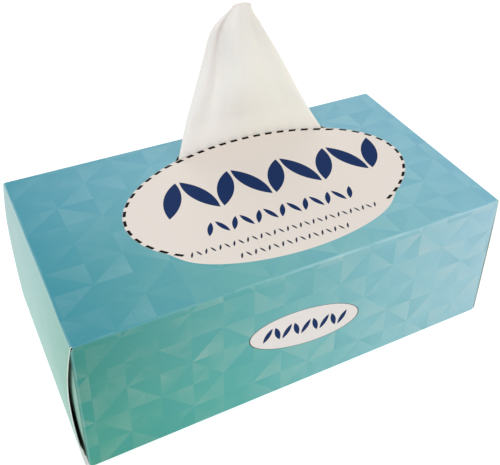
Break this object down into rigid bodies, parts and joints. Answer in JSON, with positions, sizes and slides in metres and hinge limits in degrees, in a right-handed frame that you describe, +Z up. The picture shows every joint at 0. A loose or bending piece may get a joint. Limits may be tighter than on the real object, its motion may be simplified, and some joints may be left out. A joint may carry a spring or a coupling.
{
  "type": "tissue box",
  "caption": "Flat folded-card tissue box with bowed glued ends, an oval flap that lifts along its perforation, a stack of folded tissues and the first tissue drawn up behind the flap.",
  "frame": {"origin": "centre of the base, on the surface that the box stands on", "axes": "+X to the right along the front, +Y to the back, +Z up; the tissue comes out of the top near the back"},
  "size_m": [0.2352, 0.128, 0.163],
  "materials": {
    "printed_card": "satin",
    "flap_card": "satin",
    "stacked_tissue": "matte",
    "soft_tissue": "matte"
  },
  "bodies": {
    "box": {"carton": "printed_card", "tissue_stack": "stacked_tissue", "pulled_tissue": "soft_tissue"},
    "flap": {"opening_flap": "flap_card"}
  },
  "joints": [
    {"name": "flap_hinge", "type": "hinge", "parent": "box", "child": "flap", "pos_m": [0.012, -0.038, 0.08], "axis": [1, 0, 0], "range_deg": [0, 150]}
  ]
}
